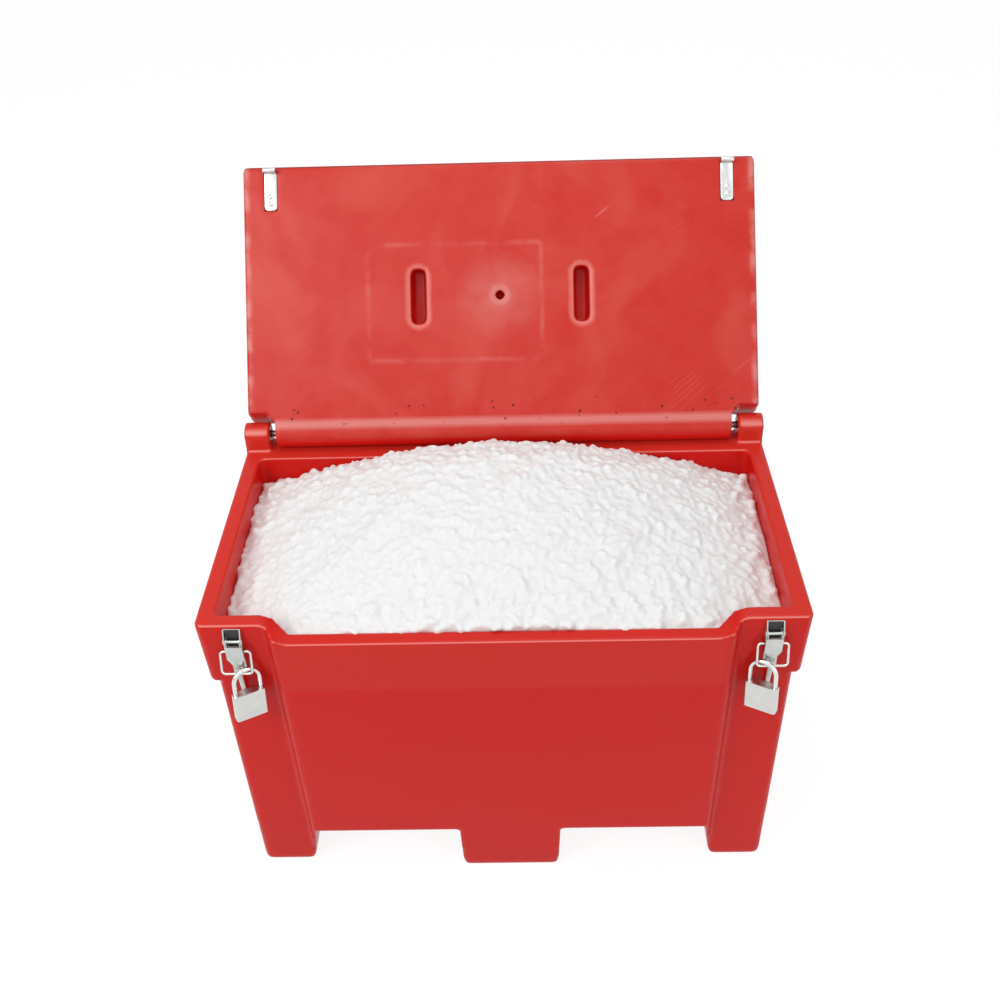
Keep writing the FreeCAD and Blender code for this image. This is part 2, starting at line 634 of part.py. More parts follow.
# Strike plates are drawn with the closed lid, where the latched bail ends inside their hook
def latched_bar():
    """Centre of the bail's bar when latched, about the hinge axis, as (y, z)."""
    angle = BAIL_REST + LATCHED
    out = PIVOT_OUT + BAIL_LENGTH * math.sin(angle)
    up = BAIL_Z - BAIL_LENGTH * math.cos(angle)
    tilt = math.radians(DRAFT_ANGLE)
    y = -out * math.cos(tilt) - up * math.sin(tilt)
    z = -out * math.sin(tilt) + up * math.cos(tilt)
    return y + FRONT - AXIS_Y, z + RIM_HEIGHT - AXIS_Z


def strike_front():
    return latched_bar()[0] + STRIKE_HOOK_RADIUS


def strike_rear():
    return strike_front() - 2 * STRIKE_HOOK_RADIUS - STRIKE_THICKNESS + STRIKE_LENGTH


def make_strike(side):
    """Steel strap in the lid's underside, its front end turned down and up again as a hook."""
    x0 = side * LATCH_SPACING / 2 - STRIKE_WIDTH / 2
    x1 = x0 + STRIKE_WIDTH
    bar_y, bar_z = latched_bar()
    centre_z = bar_z - BAIL_WIRE / 2 + STRIKE_HOOK_RADIUS
    inner = STRIKE_HOOK_RADIUS
    outer = inner + STRIKE_THICKNESS
    seat = LID_UNDER + LID_SEAT_GAP
    y = strike_front()
    strap = box(x0, x1, y, strike_rear(), seat, seat + STRIKE_THICKNESS)
    strap = fillet(strap, STRIKE_END_RADIUS, lambda e: e.BoundBox.ZLength > STRIKE_THICKNESS / 2
                   and e.CenterOfMass.y > strike_rear() - 1)
    standing = box(x0, x1, y, y + STRIKE_THICKNESS, centre_z, seat + STRIKE_THICKNESS)
    lip = box(x0, x1, bar_y - outer, bar_y - inner, centre_z, centre_z + STRIKE_LIP)
    curl = rod_along_x(x0, x1, bar_y, centre_z, 2 * outer)
    curl = curl.cut(rod_along_x(x0, x1, bar_y, centre_z, 2 * inner))
    curl = curl.cut(box(x0, x1, bar_y - 2 * outer, bar_y + 2 * outer, centre_z, centre_z + 2 * outer))
    shape = strap.fuse([standing, lip, curl]).removeSplitter()
    for rivet_y in strike_rivet_places():
        shape = shape.cut(Part.makeCylinder(RIVET_DIAMETER / 2, 2 * STRIKE_THICKNESS,
                                            vec(x0 + STRIKE_WIDTH / 2, rivet_y, seat - 1)))
    return opened(shape)


def strike_rivet_places():
    """The domed rivet stands over the tub's mouth, clear of the rim."""
    rear = strike_rear()
    return [rear - STRIKE_LENGTH * share for share in STRIKE_RIVETS]


def make_strike_rivets():
    rivets = []
    seat = LID_UNDER + LID_SEAT_GAP
    for side in (-1, 1):
        for y in strike_rivet_places():
            piece = rivet(0, 0, 0)
            piece.rotate(vec(0, 0, 0), vec(1, 0, 0), 90)
            piece.translate(vec(side * LATCH_SPACING / 2, y, seat))
            rivets.append(opened(piece))
    return Part.makeCompound(rivets)


# Padlocks are drawn about the middle of the bail's bar: shackle and body share the plane y = 0,
# the long leg on the side away from the bin's middle
SHACKLE_R = SHACKLE_SPACING / 2
CROWN_TOP = BAIL_WIRE / 2 + SHACKLE_DIAMETER / 2 + CROWN_GAP
BODY_TOP = CROWN_TOP - SHACKLE_RISE


def hung(shape, side):
    """Turn a padlock piece to the way it hangs on the bail, and carry it to its corner."""
    result = shape.copy()
    result.rotate(vec(0, 0, 0), vec(0, 0, 1), -LOCK_YAW)
    result.translate(vec(-LOCK_OFFSET, LOCK_SET_BACK, 0))
    result.rotate(vec(0, 0, 0), vec(1, 0, 0), -LOCK_TILT)
    result.translate(vec(0, -BAR_OUT, BAR_Z))
    if side < 0:
        result = mirrored(result)
    return on_face(result, side)


def shackle_wire(low_outer, low_inner):
    crown = CROWN_TOP - SHACKLE_R
    edges = [Part.LineSegment(vec(SHACKLE_R, 0, low_outer), vec(SHACKLE_R, 0, crown)),
             Part.Arc(vec(SHACKLE_R, 0, crown), vec(0, 0, CROWN_TOP), vec(-SHACKLE_R, 0, crown)),
             Part.LineSegment(vec(-SHACKLE_R, 0, crown), vec(-SHACKLE_R, 0, low_inner))]
    return Part.Wire([e.toShape() for e in edges])


def make_shackle(side):
    """Hardened steel shackle, long leg outermost, both legs seated in the body."""
    low_outer = BODY_TOP - LONG_LEG
    path = shackle_wire(low_outer, BODY_TOP - SHACKLE_ENGAGED)
    section = Part.Wire(Part.makeCircle(SHACKLE_DIAMETER / 2, vec(SHACKLE_R, 0, low_outer), vec(0, 0, 1)))
    return hung(path.makePipeShell([section], True, True), side)


def make_lock_body(side):
    """Solid brass-cored padlock body with bores for the shackle's legs and the key plug."""
    low = BODY_TOP - LOCK_HEIGHT
    shape = box(-LOCK_WIDTH / 2, LOCK_WIDTH / 2, -LOCK_THICKNESS / 2, LOCK_THICKNESS / 2, low, BODY_TOP)
    shape = fillet(shape, LOCK_CORNER, lambda e: e.BoundBox.ZLength > LOCK_HEIGHT / 2)
    hole = SHACKLE_DIAMETER / 2 + SHACKLE_HOLE_CLEARANCE
    long_bore = Part.makeCylinder(hole, LONG_LEG + 2, vec(SHACKLE_R, 0, BODY_TOP - LONG_LEG - 1))
    short_low = BODY_TOP - SHACKLE_ENGAGED - 1
    short_bore = Part.makeCylinder(hole, SHACKLE_ENGAGED + 2, vec(-SHACKLE_R, 0, short_low))
    plug_bore = Part.makeCylinder(PLUG_DIAMETER / 2 + PLUG_CLEARANCE, PLUG_LENGTH + 1, vec(0, 0, low - 1))
    return hung(shape.cut([long_bore, short_bore, plug_bore]), side)


def make_plug(side):
    low = BODY_TOP - LOCK_HEIGHT
    plug = Part.makeCylinder(PLUG_DIAMETER / 2, PLUG_LENGTH - PLUG_CLEARANCE, vec(0, 0, low))
    keyway = box(-KEYWAY_HEIGHT / 2, KEYWAY_HEIGHT / 2, -KEYWAY_WIDTH / 2, KEYWAY_WIDTH / 2,
                 low - 1, low + KEYWAY_DEPTH)
    return hung(plug.cut(keyway), side)


def salt_height(x):
    """Crest of the heap and its edges at the front and rear, at x across the bin."""
    share = min(1.0, abs(x) / (HALF_WIDTH - RIM_SIDE)) ** 2
    side = RIM_HEIGHT - SALT_SIDE_DROP
    crest = (RIM_HEIGHT + SALT_CREST) * (1 - share) + side * share
    front = (RIM_HEIGHT - SALT_FRONT_DROP) * (1 - share) + (side - SALT_FRONT_DROP / 2) * share
    rear = (RIM_HEIGHT + SALT_OVER_REAR) * (1 - share) + (side - SALT_FRONT_DROP / 2) * share
    return front, crest, rear


def salt_top(x, y):
    """Height of the heap at x, y: a bowed rise from the front, a fall to the rear, and lumps."""
    front, crest, rear = salt_height(x)
    front_y = FRONT - PANEL_FORWARD
    if y < SALT_CREST_BACK:
        share = (y - front_y) / (SALT_CREST_BACK - front_y)
        height = front + (crest - front) * share * (1 + SALT_RISE_BOW * (1 - share))
    else:
        share = (y - SALT_CREST_BACK) / (REAR - RIM_REAR - SALT_CREST_BACK)
        height = crest - (crest - rear) * share * (1 - SALT_FALL_BOW * (1 - share))
    turns = 2 * math.pi / SALT_LUMP_PITCH
    lumps = [math.sin(turns * (a * x + b * y)) for a, b in SALT_LUMP_WAYS]
    return height + SALT_LUMP * sum(lumps) / len(lumps)


def make_salt():
    """Heap of grit salt that fills the tub: a faceted lumpy top over the form of the hollow."""
    columns = round(RIM_WIDTH / SALT_LUMP_PITCH)
    depth = RIM_DEPTH - RIM_REAR + PANEL_FORWARD
    rows = round(depth / SALT_LUMP_PITCH)
    grid = []
    for i in range(columns + 1):
        x = -HALF_WIDTH + RIM_WIDTH * i / columns
        ys = [FRONT - PANEL_FORWARD + depth * j / rows for j in range(rows + 1)]
        grid.append([vec(x, y, salt_top(x, y)) for y in ys])

    def foot(point):
        return vec(point.x, point.y, INNER_FLOOR)

    loops = []
    for i in range(columns):
        for j in range(rows):
            a, b, c, d = grid[i][j], grid[i + 1][j], grid[i + 1][j + 1], grid[i][j + 1]
            loops += [[a, b, c], [a, c, d]]
    ends = [[column[0] for column in grid], [column[-1] for column in grid], grid[0], grid[-1]]
    for line in ends:
        loops.append(line + [foot(line[-1]), foot(line[0])])
    loops.append([foot(p) for p in (grid[0][0], grid[-1][0], grid[-1][-1], grid[0][-1])])
    heap = Part.Solid(Part.Shell([Part.Face(polygon(loop)) for loop in loops]))
    hollow = tub_cavity(-SALT_WALL_GAP, INNER_FLOOR + SALT_WALL_GAP, RIM_HEIGHT + 2 * SALT_CREST)
    return heap.common(hollow)


save("tub", make_tub())
save("lid", make_lid())
save("hinge_rod", make_rod())
save("hinge_rod_caps", make_caps())
save("strike_rivets", make_strike_rivets())
save("salt_load", make_salt())
for side, hand in ((-1, "left"), (1, "right")):
    save("strike_plate_" + hand, make_strike(side))
    save("latch_base_" + hand, on_face(make_base(), side))
    save("latch_rivets_" + hand, on_face(make_base_rivets(), side))
    save("latch_buffer_" + hand, on_face(make_buffer(), side))
    save("latch_pin_" + hand, on_face(make_pin(), side))
    save("latch_lever_" + hand, on_face(make_lever(), side))
    save("latch_bail_" + hand, on_face(make_bail(), side))
    save("padlock_shackle_" + hand, make_shackle(side))
    save("padlock_body_" + hand, make_lock_body(side))
    save("padlock_key_plug_" + hand, make_plug(side))
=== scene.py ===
import json
import math
import random

import bmesh
import bpy
from mathutils import Matrix, Quaternion, Vector
from mathutils.bvhtree import BVHTree


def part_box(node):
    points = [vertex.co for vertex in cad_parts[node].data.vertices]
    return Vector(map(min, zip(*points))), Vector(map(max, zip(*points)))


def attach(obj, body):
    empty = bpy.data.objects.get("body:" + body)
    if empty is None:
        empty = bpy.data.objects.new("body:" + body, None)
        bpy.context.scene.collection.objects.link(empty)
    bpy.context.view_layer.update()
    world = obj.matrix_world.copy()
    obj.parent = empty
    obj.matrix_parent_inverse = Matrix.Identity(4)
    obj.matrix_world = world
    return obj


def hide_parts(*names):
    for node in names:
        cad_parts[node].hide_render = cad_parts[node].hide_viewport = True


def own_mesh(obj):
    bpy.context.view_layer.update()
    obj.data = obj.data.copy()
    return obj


# Grit salt bin, seen from the front and above with its lid open: a red double-skinned moulding,
# heaped with white rock salt and locked, when it is shut, by two toggle latches with padlocks.
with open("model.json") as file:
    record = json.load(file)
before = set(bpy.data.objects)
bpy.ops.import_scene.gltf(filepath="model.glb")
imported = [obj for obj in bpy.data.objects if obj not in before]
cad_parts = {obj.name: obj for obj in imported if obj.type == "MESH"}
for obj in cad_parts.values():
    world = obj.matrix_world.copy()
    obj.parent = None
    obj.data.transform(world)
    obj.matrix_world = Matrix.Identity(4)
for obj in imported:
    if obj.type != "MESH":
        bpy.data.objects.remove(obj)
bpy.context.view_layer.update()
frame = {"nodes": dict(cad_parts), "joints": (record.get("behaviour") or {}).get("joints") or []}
scene = bpy.context.scene

# The view: a camera a little above the open bin, looking down into it. The horizontals of the
# picture rise to the right, so the camera is rolled by a small angle.
CAMERA_PLACE = Vector((0.0416, -1.5025, 1.9130))
CAMERA_AIM = Vector((-0.0014, 0.1467, 0.7823))
CAMERA_ROLL = math.radians(-1.994)
CAMERA_LENS = 41.19
CAMERA_SHIFT = -0.1013
CAMERA_NEAR = 0.05
camera_data = bpy.data.cameras.new("camera")
camera_data.lens = CAMERA_LENS
camera_data.shift_y = CAMERA_SHIFT
camera_data.clip_start = CAMERA_NEAR
camera = bpy.data.objects.new("camera", camera_data)
scene.collection.objects.link(camera)
camera.rotation_mode = "QUATERNION"
camera.location = CAMERA_PLACE
level_turn = (CAMERA_AIM - CAMERA_PLACE).to_track_quat("-Z", "Y")
camera.rotation_quaternion = level_turn @ Quaternion((0, 0, 1), CAMERA_ROLL)
scene.camera = camera

# The light: a broad soft lamp from the upper left, weaker ones from the right, from above and from
# behind the camera, and an even surround, as in a plain product studio. The surround is white
# where it is looked at or mirrored, and weaker, AMBIENT, as light that falls on the bin.
scene.view_settings.view_transform = "Standard"
WHITE = (1, 1, 1, 1)
AMBIENT = 0.53
LAMP_AIM = Vector((0, 0, 0.5))
LAMPS = {"key": ((-1.9, -1.7, 2.6), 1.6, 40.0),
         "fill": ((2.2, -2.2, 1.8), 1.8, 16.0),
         "top": ((0.3, 0.2, 3.2), 1.4, 14.0),
         "glint": ((-0.3, -2.0, 2.9), 0.5, 3.0)}


def add_node(tree, kind, inputs=None, **settings):
    """A node of that kind in the tree, with its settings and the values of its inputs."""
    made = tree.nodes.new(kind)
    for name, value in settings.items():
        setattr(made, name, value)
    for name, value in (inputs or {}).items():
        if isinstance(value, bpy.types.NodeSocket):
            tree.links.new(value, made.inputs[name])
        else:
            made.inputs[name].default_value = value
    return made


def calc(tree, operation, first, second=0.0):
    """The output of one math node."""
    return add_node(tree, "ShaderNodeMath", {0: first, 1: second}, operation=operation).outputs[0]


def seen_directly(tree):
    """1 for what the camera, a mirror or a glass looks at, 0 for light that falls on the object."""
    path = add_node(tree, "ShaderNodeLightPath")
    camera_or_mirror = calc(tree, "MAXIMUM", path.outputs["Is Camera Ray"], path.outputs["Is Glossy Ray"])
    return calc(tree, "MAXIMUM", camera_or_mirror, path.outputs["Is Transmission Ray"])


world = bpy.data.worlds.new("studio")
scene.world = world
world.use_nodes = True
tree = world.node_tree
tree.nodes.clear()
strength = calc(tree, "MAXIMUM", seen_directly(tree), AMBIENT)
surround = add_node(tree, "ShaderNodeBackground", {"Color": WHITE, "Strength": strength})
add_node(tree, "ShaderNodeOutputWorld", {"Surface": surround.outputs[0]})
for lamp_name, (lamp_place, lamp_width, lamp_power) in LAMPS.items():
    lamp_data = bpy.data.lights.new(lamp_name, "AREA")
    lamp_data.shape = "SQUARE"
    lamp_data.size = lamp_width
    lamp_data.energy = lamp_power
    lamp = bpy.data.objects.new(lamp_name, lamp_data)
    lamp.location = lamp_place
    lamp.rotation_euler = (LAMP_AIM - Vector(lamp_place)).to_track_quat("-Z", "Y").to_euler()
    scene.collection.objects.link(lamp)

# The floor: a wide pale sheet under the bin. It looks white from the camera and in bright metal,
# and keeps the bin's faint shadow.
FLOOR_REACH = 12.0
FLOOR_COLOUR = (0.8, 0.8, 0.8, 1)
FLOOR_SHADE = (0.2, 0.2, 0.2, 1)
FLOOR_GLOW = 0.88
floor_mesh = bmesh.new()
bmesh.ops.create_grid(floor_mesh, x_segments=1, y_segments=1, size=FLOOR_REACH)
floor_data = bpy.data.meshes.new("floor")
floor_mesh.to_mesh(floor_data)
floor_mesh.free()
floor = bpy.data.objects.new("floor", floor_data)
scene.collection.objects.link(floor)
floor_material = bpy.data.materials.new("floor_white")
floor_material.use_nodes = True
tree = floor_material.node_tree
tree.nodes.clear()
matt = add_node(tree, "ShaderNodeBsdfDiffuse", {"Color": FLOOR_COLOUR}).outputs[0]
shade = add_node(tree, "ShaderNodeBsdfDiffuse", {"Color": FLOOR_SHADE}).outputs[0]
glow = add_node(tree, "ShaderNodeEmission", {"Color": WHITE, "Strength": FLOOR_GLOW}).outputs[0]
bright = add_node(tree, "ShaderNodeAddShader", {0: shade, 1: glow}).outputs[0]
chosen = add_node(tree, "ShaderNodeMixShader", {0: seen_directly(tree), 1: matt, 2: bright})
add_node(tree, "ShaderNodeOutputMaterial", {"Surface": chosen.outputs[0]})
floor_data.materials.append(floor_material)

# The tub: one rotomoulded polyethylene piece with two skins. It comes out of its mould with every
# edge and inner corner softly rounded, so its drawn form is melted down to those radii here.
WELD = 1e-5
TUB_GRAIN = 0.0042
TUB_THINNING = 0.38
TUB_ROUNDING = 2
SKID_ROUNDING = 6
FOOT_ROUNDING = 18
PANEL_ROUNDING = 14
FOOT_HEIGHT = 0.022
SKID_TOP = 0.13
PANEL_STEP_FRONT = -0.18
PANEL_STEP_TOP = 0.59
PANEL_STEP_INNER = 0.26
PANEL_STEP_OUTER = 0.40
BLEND_WIDTH = 0.02


def welded(node):
    """A bmesh of a drawn piece, its loose triangles joined."""
    bm = bmesh.new()
    bm.from_mesh(frame["nodes"][node].data)
    bmesh.ops.remove_doubles(bm, verts=bm.verts, dist=WELD)
    return bm


def keep_outer_skin(bm):
    """Delete every closed inner void: only the island with the widest reach stays."""
    waiting = set(bm.verts)
    islands = []
    while waiting:
        island = []
        to_visit = [waiting.pop()]
        while to_visit:
            vert = to_visit.pop()
            island.append(vert)
            for link in vert.link_edges:
                other = link.other_vert(vert)
                if other in waiting:
                    waiting.remove(other)
                    to_visit.append(other)
        islands.append(island)
    reach = [max(v.co.x for v in island) - min(v.co.x for v in island) for island in islands]
    widest = reach.index(max(reach))
    inner = [v for i, island in enumerate(islands) if i != widest for v in island]
    bmesh.ops.delete(bm, geom=inner, context="VERTS")


def new_piece(name, bm):
    """An object of that name from a bmesh, which is freed."""
    data = bpy.data.meshes.new(name)
    bm.to_mesh(data)
    bm.free()
    piece = bpy.data.objects.new(name, data)
    scene.collection.objects.link(piece)
    return piece


def add_modifier(piece, kind, **settings):
    """One more modifier at the end of the piece's list."""
    made = piece.modifiers.new(kind.lower(), kind)
    for name, value in settings.items():
        setattr(made, name, value)


def apply_modifiers(piece):
    """Take the modifiers' result as the piece's own mesh."""
    graph = bpy.context.evaluated_depsgraph_get()
    result = bpy.data.meshes.new_from_object(piece.evaluated_get(graph))
    old = piece.data
    piece.modifiers.clear()
    piece.data = result
    bpy.data.meshes.remove(old)


def remesh(piece, grain):
    """Even fine facets over a closed form, with all that overlaps in it made one."""
    add_modifier(piece, "REMESH", mode="VOXEL", voxel_size=grain, use_smooth_shade=True)


def soften(piece, rounds, group=""):
    """Round the piece off, over one vertex group of it if that is named."""
    add_modifier(piece, "SMOOTH", factor=0.5, iterations=rounds, vertex_group=group)


def choose(piece, name, share_at):
    """Give the piece a vertex group of that name, with the share that share_at gives each point."""
    group = piece.vertex_groups.new(name=name)
    for vert in piece.data.vertices:
        share = share_at(vert.co)
        if share > 0:
            group.add([vert.index], share, "REPLACE")


def ramp(value):
    """The value, held between 0 and 1."""
    return min(1.0, max(0.0, value))


def by_panel_side(point):
    """1 along the step between the front panel and a corner pad, fading out over the channels."""
    if point.y > PANEL_STEP_FRONT:
        return 0.0
    side = abs(point.x)
    height = ramp((point.z - SKID_TOP) / (2 * BLEND_WIDTH)) * ramp((PANEL_STEP_TOP - point.z) / BLEND_WIDTH)
    past_inner = ramp((side - PANEL_STEP_INNER) / BLEND_WIDTH)
    before_outer = ramp((PANEL_STEP_OUTER - side) / BLEND_WIDTH)
    return height * past_inner * before_outer


def shade_smooth(piece):
    """Let light run over the piece's facets as over a smooth surface."""
    for face in piece.data.polygons:
        face.use_smooth = True


def set_material(piece, material):
    """Make it the piece's one material."""
    piece.data.materials.clear()
    piece.data.materials.append(material)


tub_bm = welded("tub")
keep_outer_skin(tub_bm)
tub = new_piece("tub_moulding", tub_bm)
remesh(tub, TUB_GRAIN)
apply_modifiers(tub)
add_modifier(tub, "SHRINKWRAP", target=frame["nodes"]["tub"], wrap_method="NEAREST_SURFACEPOINT")
soften(tub, TUB_ROUNDING)
apply_modifiers(tub)
choose(tub, "skids", lambda point: ramp((SKID_TOP - point.z) / BLEND_WIDTH))
choose(tub, "feet", lambda point: ramp(1 - point.z / FOOT_HEIGHT))
choose(tub, "panel_sides", by_panel_side)
soften(tub, SKID_ROUNDING, "skids")
soften(tub, FOOT_ROUNDING, "feet")
soften(tub, PANEL_ROUNDING, "panel_sides")
add_modifier(tub, "DECIMATE", ratio=TUB_THINNING)
apply_modifiers(tub)
tub.vertex_groups.clear()
shade_smooth(tub)

# The tub's finish: red polyethylene, a little cloudy and scratched, with a painted paler sheen on the
# upper part of its front panel, paler over the rim top, and a painted highlight along the rounded
# edges that look upwards.
RED = (0.65, 0.010, 0.006, 1)
RED_WORN = (0.72, 0.08, 0.06, 1)
RED_DEEP = (0.59, 0.008, 0.005, 1)
RED_UPPER_PALE = (0.63, 0.034, 0.022, 1)
RED_EDGE_HIGHLIGHT = (0.90, 0.36, 0.32, 1)
TUB_GLOSS = 0.16
TUB_ROUGHNESS = (0.24, 0.36)
TUB_SCRATCHES = 0.12
FRONT_PLANE = -0.2
PANEL_SIDES = (0.34, 0.36)
PANEL_BAND = 0.507
BAND_BLUR = 0.003
BAND_PALENESS = 0.45
RIM_PALE_HEIGHT = 0.633
RIM_BLUR = 0.004
RIM_PALENESS = 0.8
EDGE_TILT = 0.62
EDGE_SPREAD = (0.08, 0.30)
EDGE_ENDS = (0.15, 0.45)
EDGE_PALENESS = 0.55
SCRATCH_TURN = 0.7
SCRATCH_STRETCH = (1.5, 60.0, 1.0)
SCRATCH_WIDTH = (0.004, 0.016)
SCRATCH_PLACES = (0.76, 0.66)
NOISE_MIDDLE = 0.5


def apart(tree, value, middle):
    """How far a value is from the middle, either way."""
    return calc(tree, "ABSOLUTE", calc(tree, "SUBTRACT", value, middle))


def fade(tree, value, start, end, top=1.0):
    """From top at start down to 0 at end."""
    inputs = {"Value": value, "From Min": start, "From Max": end, "To Min": top, "To Max": 0.0}
    return add_node(tree, "ShaderNodeMapRange", inputs).outputs[0]


def noise(tree, place, scale, detail, distortion=0.0):
    """Soft noise over a place, from 0 to 1."""
    inputs = {"Vector": place, "Scale": scale, "Detail": detail, "Distortion": distortion}
    return add_node(tree, "ShaderNodeTexNoise", inputs).outputs["Fac"]


def new_group(name, inputs, outputs):
    """A shader node group with its inputs, as name: (kind, value), and its outputs, as name: kind."""
    group = bpy.data.node_groups.new(name, "ShaderNodeTree")
    for label, (kind, value) in inputs.items():
        group.interface.new_socket(label, in_out="INPUT", socket_type=kind).default_value = value
    for label, kind in outputs.items():
        group.interface.new_socket(label, in_out="OUTPUT", socket_type=kind)
    return group, add_node(group, "NodeGroupInput"), add_node(group, "NodeGroupOutput")


def make_clouding():
    """Slow cloudy change of a moulded surface, from 0 to 1."""
    group, given, out = new_group("moulding_clouds", {"Scale": ("NodeSocketFloat", 4.0)},
                                  {"Mask": "NodeSocketFloat"})
    place = add_node(group, "ShaderNodeTexCoord")
    clouds = add_node(group, "ShaderNodeTexNoise", {"Vector": place.outputs["Object"],
                      "Scale": given.outputs["Scale"], "Detail": 4.0, "Roughness": 0.55})
    group.links.new(clouds.outputs["Fac"], out.inputs["Mask"])
    return group


def make_scratches():
    """A few fine straight scratches in a plane, in scattered places: 1 on a scratch, 0 beside it."""
    group, given, out = new_group("scratches", {"Place": ("NodeSocketVector", (0, 0, 0)),
                                                "Amount": ("NodeSocketFloat", 0.5)},
                                  {"Mask": "NodeSocketFloat"})
    turned = add_node(group, "ShaderNodeMapping", {"Vector": given.outputs["Place"],
                                                   "Rotation": (0, 0, SCRATCH_TURN)})
    stretched = add_node(group, "ShaderNodeMapping", {"Vector": turned.outputs[0], "Scale": SCRATCH_STRETCH})
    lines = add_node(group, "ShaderNodeTexNoise", {"Vector": stretched.outputs[0], "Scale": 1.0,
                     "Detail": 0.0}, noise_dimensions="2D")
    patches = add_node(group, "ShaderNodeTexNoise", {"Vector": turned.outputs[0], "Scale": 8.0,
                       "Detail": 2.0}, noise_dimensions="2D")
    on_line = fade(group, apart(group, lines.outputs["Fac"], NOISE_MIDDLE), *SCRATCH_WIDTH)
    found = calc(group, "MULTIPLY", on_line, fade(group, patches.outputs["Fac"], *SCRATCH_PLACES))
    group.links.new(calc(group, "MULTIPLY", found, given.outputs["Amount"]), out.inputs["Mask"])
    return group


CLOUDS = make_clouding()
SCRATCHES = make_scratches()


def new_material(name, inputs=None):
    """A node material, its tree and its principled shader with the shader's plain inputs set."""
    material = bpy.data.materials.new(name)
    material.use_nodes = True
    tree = material.node_tree
    tree.nodes.clear()
    shader = add_node(tree, "ShaderNodeBsdfPrincipled", inputs)
    add_node(tree, "ShaderNodeOutputMaterial", {"Surface": shader.outputs[0]})
    return material, tree, shader


def use_group(tree, group, inputs):
    """What one node group puts out in the tree."""
    return add_node(tree, "ShaderNodeGroup", inputs, node_tree=group).outputs[0]


def flat_place(tree, across, up):
    """A place in a plane, as a vector."""
    return add_node(tree, "ShaderNodeCombineXYZ", {0: across, 1: up}).outputs[0]


def mix_colour(tree, factor, first, second):
    """The first colour where the factor is 0 and the second where it is 1."""
    made = tree.nodes.new("ShaderNodeMix")
    made.data_type = "RGBA"
    colours = [s for s in made.inputs if s.type == "RGBA"]
    for socket, value in zip(colours, (first, second)):
        if isinstance(value, bpy.types.NodeSocket):
            tree.links.new(value, socket)
        else:
            socket.default_value = value
    tree.links.new(factor, made.inputs["Factor"])
    return next(s for s in made.outputs if s.type == "RGBA")


def set_colour(tree, shader, colour, layers):
    """The shader's colour, with the colour of each (mask, colour) layer mixed over it in turn."""
    for mask, laid_over in layers:
        colour = mix_colour(tree, mask, colour, laid_over)
    tree.links.new(colour, shader.inputs["Base Color"])


def set_roughness(tree, shader, clouds, low, high, cloud_range=(0.0, 1.0)):
    """The shader's roughness, from low to high as the clouds go through their range."""
    rough = add_node(tree, "ShaderNodeMapRange", {"Value": clouds, "From Min": cloud_range[0],
                     "From Max": cloud_range[1], "To Min": low, "To Max": high})
    tree.links.new(rough.outputs[0], shader.inputs["Roughness"])


def set_bump(tree, shader, height, strength, distance):
    """A slight relief on the shader's surface."""
    bump = add_node(tree, "ShaderNodeBump", {"Height": height, "Strength": strength, "Distance": distance})
    tree.links.new(bump.outputs[0], shader.inputs["Normal"])


tub_red, tree, shader = new_material("tub_red_polyethylene", {"Specular IOR Level": TUB_GLOSS})
place = add_node(tree, "ShaderNodeTexCoord")
spot = add_node(tree, "ShaderNodeSeparateXYZ", {0: place.outputs["Object"]})
facing = add_node(tree, "ShaderNodeSeparateXYZ", {0: place.outputs["Normal"]})
clouds = use_group(tree, CLOUDS, {"Scale": 3.0})
either_side = calc(tree, "ABSOLUTE", spot.outputs["X"])
on_front = calc(tree, "LESS_THAN", spot.outputs["Y"], FRONT_PLANE)
on_panel = calc(tree, "MULTIPLY", on_front, fade(tree, either_side, *PANEL_SIDES))
# A painted sheen: the upper band of the front panel, where its face turns a little, is paler and less red.
over_band = fade(tree, spot.outputs["Z"], PANEL_BAND + BAND_BLUR, PANEL_BAND - BAND_BLUR, BAND_PALENESS)
painted_band_sheen = calc(tree, "MULTIPLY", on_panel, over_band)
# Paler over the rim's top, above a set height.
pale_rim_top = fade(tree, spot.outputs["Z"], RIM_PALE_HEIGHT, RIM_PALE_HEIGHT - RIM_BLUR, RIM_PALENESS)
# A painted highlight: pale along the rounded edges that look upwards, where a lamp's reflection would lie.
looks_up = fade(tree, apart(tree, facing.outputs["Z"], EDGE_TILT), *EDGE_SPREAD, EDGE_PALENESS)
lengthwise = fade(tree, calc(tree, "ABSOLUTE", facing.outputs["X"]), *EDGE_ENDS)
painted_edge_highlight = calc(tree, "MULTIPLY", looks_up, lengthwise)
on_wall = flat_place(tree, calc(tree, "ADD", spot.outputs["X"], spot.outputs["Y"]), spot.outputs["Z"])
scratches = use_group(tree, SCRATCHES, {"Place": on_wall, "Amount": TUB_SCRATCHES})
set_colour(tree, shader, mix_colour(tree, clouds, RED_DEEP, RED),
           ((painted_band_sheen, RED_UPPER_PALE), (pale_rim_top, RED_UPPER_PALE), (painted_edge_highlight, RED_EDGE_HIGHLIGHT), (scratches, RED_WORN)))
set_roughness(tree, shader, clouds, *TUB_ROUGHNESS)
grain = noise(tree, place.outputs["Object"], scale=260.0, detail=2.0)
set_bump(tree, shader, grain, strength=0.05, distance=0.001)
set_material(tub, tub_red)
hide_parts("tub")
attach(tub, "tub")

